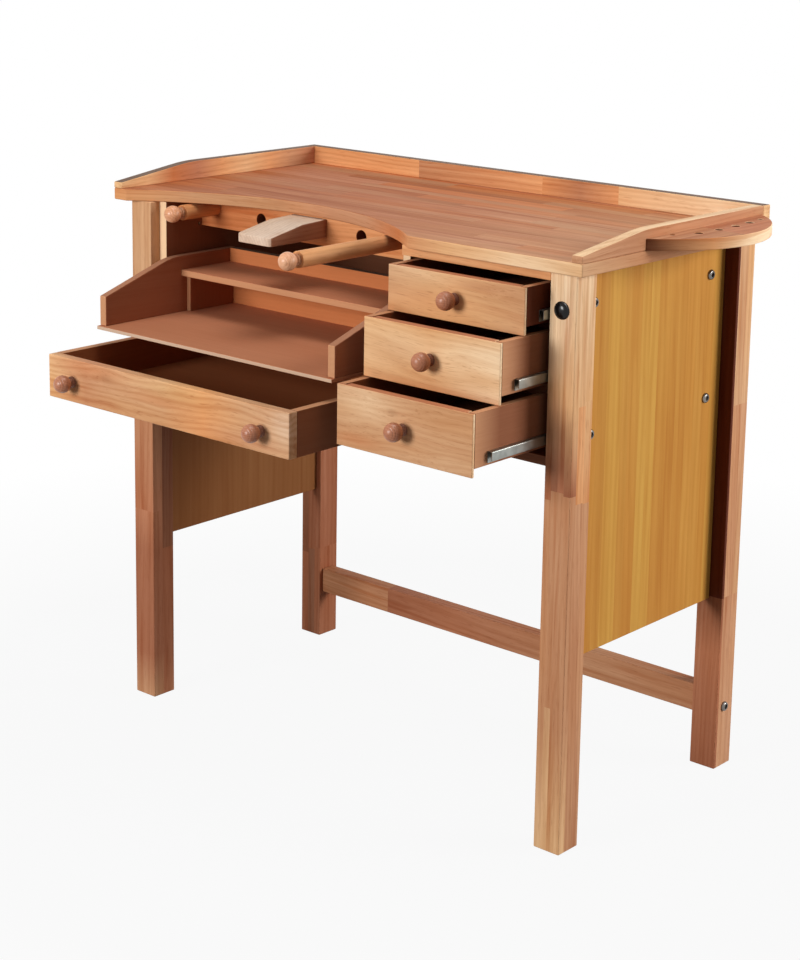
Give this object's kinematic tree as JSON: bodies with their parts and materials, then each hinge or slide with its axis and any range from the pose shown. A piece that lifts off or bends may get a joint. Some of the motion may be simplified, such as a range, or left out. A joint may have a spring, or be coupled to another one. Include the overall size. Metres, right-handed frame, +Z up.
{
  "type": "jewelers bench",
  "caption": "Wooden jeweler's bench: scalloped top with raised rails, bench pin, pull-out armrests, catch tray, drawers on slides and a side tool holder.",
  "frame": {"origin": "on the floor, at the centre of the rectangle of the four legs", "axes": "+Z up, the front with the drawers faces -Y, +X towards the side with the tool holder"},
  "size_m": [1.083, 0.7446, 0.952],
  "materials": {
    "solid_wood": "satin lacquer over finger-jointed rubberwood",
    "panel_veneer": "satin lacquered yellow veneer",
    "drawer_wood": "satin lacquered rubberwood",
    "tray_wood": "satin reddish-brown lacquered board",
    "pin_wood": "bare pale hardwood",
    "knob_wood": "turned and lacquered wood",
    "slide_steel": "bright zinc-plated sheet",
    "bolt_steel": "polished nickel plate",
    "black_plastic": "glossy moulded"
  },
  "bodies": {
    "bench": {"bench_top": "solid_wood", "back_rail": "solid_wood", "left_rail": "solid_wood", "right_rail": "solid_wood", "leg_front_left": "solid_wood", "leg_front_right": "solid_wood", "leg_rear_left": "solid_wood", "leg_rear_right": "solid_wood", "rear_stretcher": "solid_wood", "front_rail": "solid_wood", "pin_apron": "solid_wood", "armrest_guides": "solid_wood", "tool_holder": "solid_wood", "side_panel_left": "panel_veneer", "side_panel_right": "panel_veneer", "back_panel": "panel_veneer", "case_wall_left": "tray_wood", "case_wall_right": "tray_wood", "left_inner_panel": "drawer_wood", "centre_divider": "drawer_wood", "case_bottom": "tray_wood", "tray_runners": "solid_wood", "wide_drawer_runners": "solid_wood", "bench_pin": "pin_wood", "leg_cap": "black_plastic", "panel_bolts": "bolt_steel", "stretcher_bolts": "bolt_steel", "tool_holder_screws": "bolt_steel", "case_slides": "slide_steel"},
    "drawer_1": {"drawer_1_front": "drawer_wood", "drawer_1_sides": "tray_wood", "drawer_1_back": "tray_wood", "drawer_1_bottom": "tray_wood", "drawer_1_knob": "knob_wood", "drawer_1_slides": "slide_steel"},
    "drawer_2": {"drawer_2_front": "drawer_wood", "drawer_2_sides": "tray_wood", "drawer_2_back": "tray_wood", "drawer_2_bottom": "tray_wood", "drawer_2_knob": "knob_wood", "drawer_2_slides": "slide_steel"},
    "drawer_3": {"drawer_3_front": "drawer_wood", "drawer_3_sides": "tray_wood", "drawer_3_back": "tray_wood", "drawer_3_bottom": "tray_wood", "drawer_3_knob": "knob_wood", "drawer_3_slides": "slide_steel"},
    "wide_drawer": {"wide_drawer_front": "drawer_wood", "wide_drawer_sides": "tray_wood", "wide_drawer_back": "tray_wood", "wide_drawer_bottom": "tray_wood", "wide_drawer_knobs": "knob_wood"},
    "tray": {"tray_bottom": "tray_wood", "tray_sides": "tray_wood", "tray_backboard": "tray_wood", "tray_shelf": "tray_wood", "shelf_supports": "tray_wood"},
    "armrest_left": {"armrest_left": "knob_wood"},
    "armrest_right": {"armrest_right": "knob_wood"}
  },
  "joints": [
    {"name": "drawer_1_slide", "type": "slide", "parent": "bench", "child": "drawer_1", "axis": [0, -1, 0], "range_m": [-0.045, 0.235]},
    {"name": "drawer_2_slide", "type": "slide", "parent": "bench", "child": "drawer_2", "axis": [0, -1, 0], "range_m": [-0.0986, 0.18]},
    {"name": "drawer_3_slide", "type": "slide", "parent": "bench", "child": "drawer_3", "axis": [0, -1, 0], "range_m": [-0.157, 0.12]},
    {"name": "wide_drawer_slide", "type": "slide", "parent": "bench", "child": "wide_drawer", "axis": [0, -1, 0], "range_m": [-0.229, 0.08]},
    {"name": "tray_slide", "type": "slide", "parent": "bench", "child": "tray", "axis": [0, -1, 0], "range_m": [-0.15, 0.05]},
    {"name": "armrest_left_slide", "type": "slide", "parent": "bench", "child": "armrest_left", "axis": [0, -1, 0], "range_m": [-0.075, 0.18]},
    {"name": "armrest_right_slide", "type": "slide", "parent": "bench", "child": "armrest_right", "axis": [0, -1, 0], "range_m": [-0.249, 0.006]}
  ]
}
